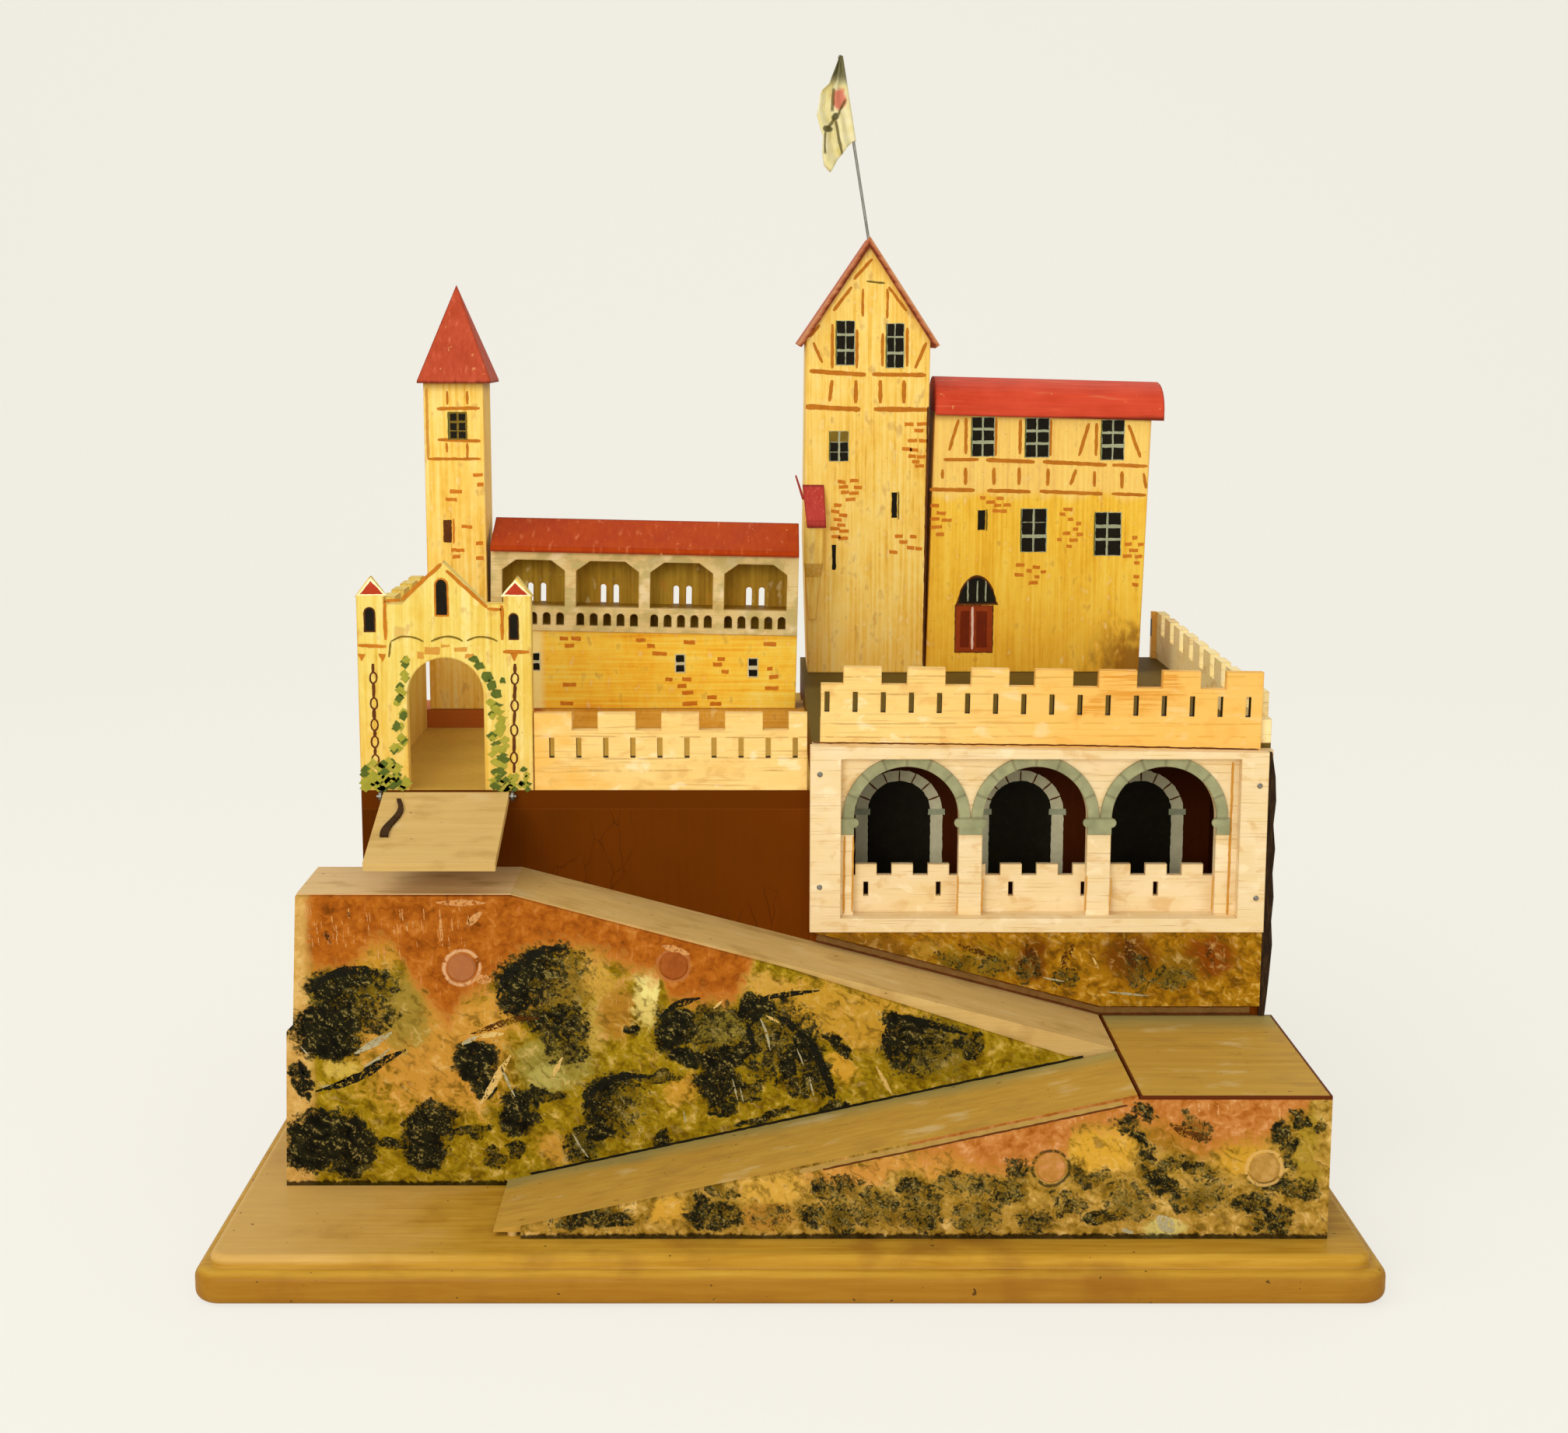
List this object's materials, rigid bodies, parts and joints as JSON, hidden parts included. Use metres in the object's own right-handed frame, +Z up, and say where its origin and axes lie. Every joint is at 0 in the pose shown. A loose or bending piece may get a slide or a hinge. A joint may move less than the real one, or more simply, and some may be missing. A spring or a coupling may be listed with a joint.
{
  "type": "toy castle",
  "caption": "Wooden toy castle on a stepped rock with two ramps, a drawbridge gate, a courtyard, an arcade with a room behind it, lift-off tower, gallery, keep and hall, and a flag",
  "frame": {"origin": "middle of the base board's underside", "axes": "+Z up, -Y the front with the ramps and the gate, +X to the right seen from the front"},
  "size_m": [0.4998, 0.46, 0.55],
  "materials": {
    "base_wood": "worn golden-brown varnish",
    "ramp_wood": "bare rubbed board",
    "brown_paint": "smooth red-brown paint",
    "rock_paint": "dabbed rock painting",
    "yellow_paint": "yellow varnished paint over grain",
    "cream_paint": "cream paint, worn at the edges",
    "grey_paint": "grey paint",
    "red_paint": "brushed red paint",
    "wire": "dull wire",
    "bark": "dark rough bark",
    "leather": "dark leather",
    "cloth": "creased printed cloth"
  },
  "bodies": {
    "castle": {"base_board": "base_wood", "hill_front_wall": "brown_paint", "hill_left_wall": "brown_paint", "hill_right_wall": "brown_paint", "hill_back_wall": "brown_paint", "bastion_front_wall": "brown_paint", "bastion_step_wall": "brown_paint", "corner_battens": "ramp_wood", "left_rock_face": "rock_paint", "left_rock_end": "rock_paint", "left_rock_back": "rock_paint", "right_rock_face": "rock_paint", "right_rock_end": "rock_paint", "rock_plugs": "rock_paint", "lower_ramp": "ramp_wood", "upper_ramp": "ramp_wood", "left_landing": "ramp_wood", "right_landing": "ramp_wood", "ramp_bearers": "ramp_wood", "bastion_rock_panel": "rock_paint", "corner_strip": "bark", "left_terrace": "brown_paint", "right_terrace": "brown_paint", "gallery_plinth": "brown_paint", "court_parapet": "yellow_paint", "court_side_wall": "yellow_paint", "bastion_parapet": "yellow_paint", "side_parapet": "yellow_paint", "parapet_return": "yellow_paint", "arcade_screen": "cream_paint", "arcade_frame": "cream_paint", "arch_bands": "grey_paint", "arcade_breast": "cream_paint", "room_floor": "brown_paint", "room_back": "brown_paint", "room_cheeks": "brown_paint", "frame_nails": "wire", "gatehouse": "yellow_paint", "bridge_staples": "wire", "bridge_pin": "wire"},
    "drawbridge": {"drawbridge": "ramp_wood", "bridge_pull": "leather"},
    "tower": {"tower_post": "yellow_paint", "tower_roof": "red_paint"},
    "gallery": {"gallery_wall": "yellow_paint", "gallery_screen": "cream_paint", "gallery_back": "yellow_paint", "gallery_ends": "yellow_paint", "gallery_floor": "yellow_paint", "gallery_roof": "red_paint"},
    "keep": {"keep_gables": "yellow_paint", "keep_sides": "yellow_paint", "keep_ridge": "ramp_wood", "keep_roof": "red_paint", "oriel": "yellow_paint", "oriel_roof": "red_paint"},
    "hall": {"hall_walls": "yellow_paint", "hall_roof": "red_paint"},
    "flagpole": {"flagpole": "wire"},
    "flag": {"flag": "cloth"}
  },
  "joints": [
    {"name": "bridge_hinge", "type": "hinge", "parent": "castle", "child": "drawbridge", "pos_m": [-0.1574, -0.0899, 0.1886], "axis": [-1, 0, 0], "range_deg": [-14, 107]},
    {"name": "tower_lift", "type": "slide", "parent": "castle", "child": "tower", "axis": [0, 0, 1], "range_m": [0, 0.04]},
    {"name": "gallery_lift", "type": "slide", "parent": "castle", "child": "gallery", "axis": [0, 0, 1], "range_m": [0, 0.04]},
    {"name": "keep_lift", "type": "slide", "parent": "castle", "child": "keep", "axis": [0, 0, 1], "range_m": [0, 0.05]},
    {"name": "hall_lift", "type": "slide", "parent": "castle", "child": "hall", "axis": [0, 0, 1], "range_m": [0, 0.012]},
    {"name": "flagpole_lift", "type": "slide", "parent": "keep", "child": "flagpole", "axis": [-0.1633, 0, 0.9866], "range_m": [0, 0.012]},
    {"name": "flag_turn", "type": "hinge", "parent": "flagpole", "child": "flag", "pos_m": [0.04769, 0.167, 0.45217], "axis": [-0.1633, 0, 0.9866], "continuous": true}
  ]
}
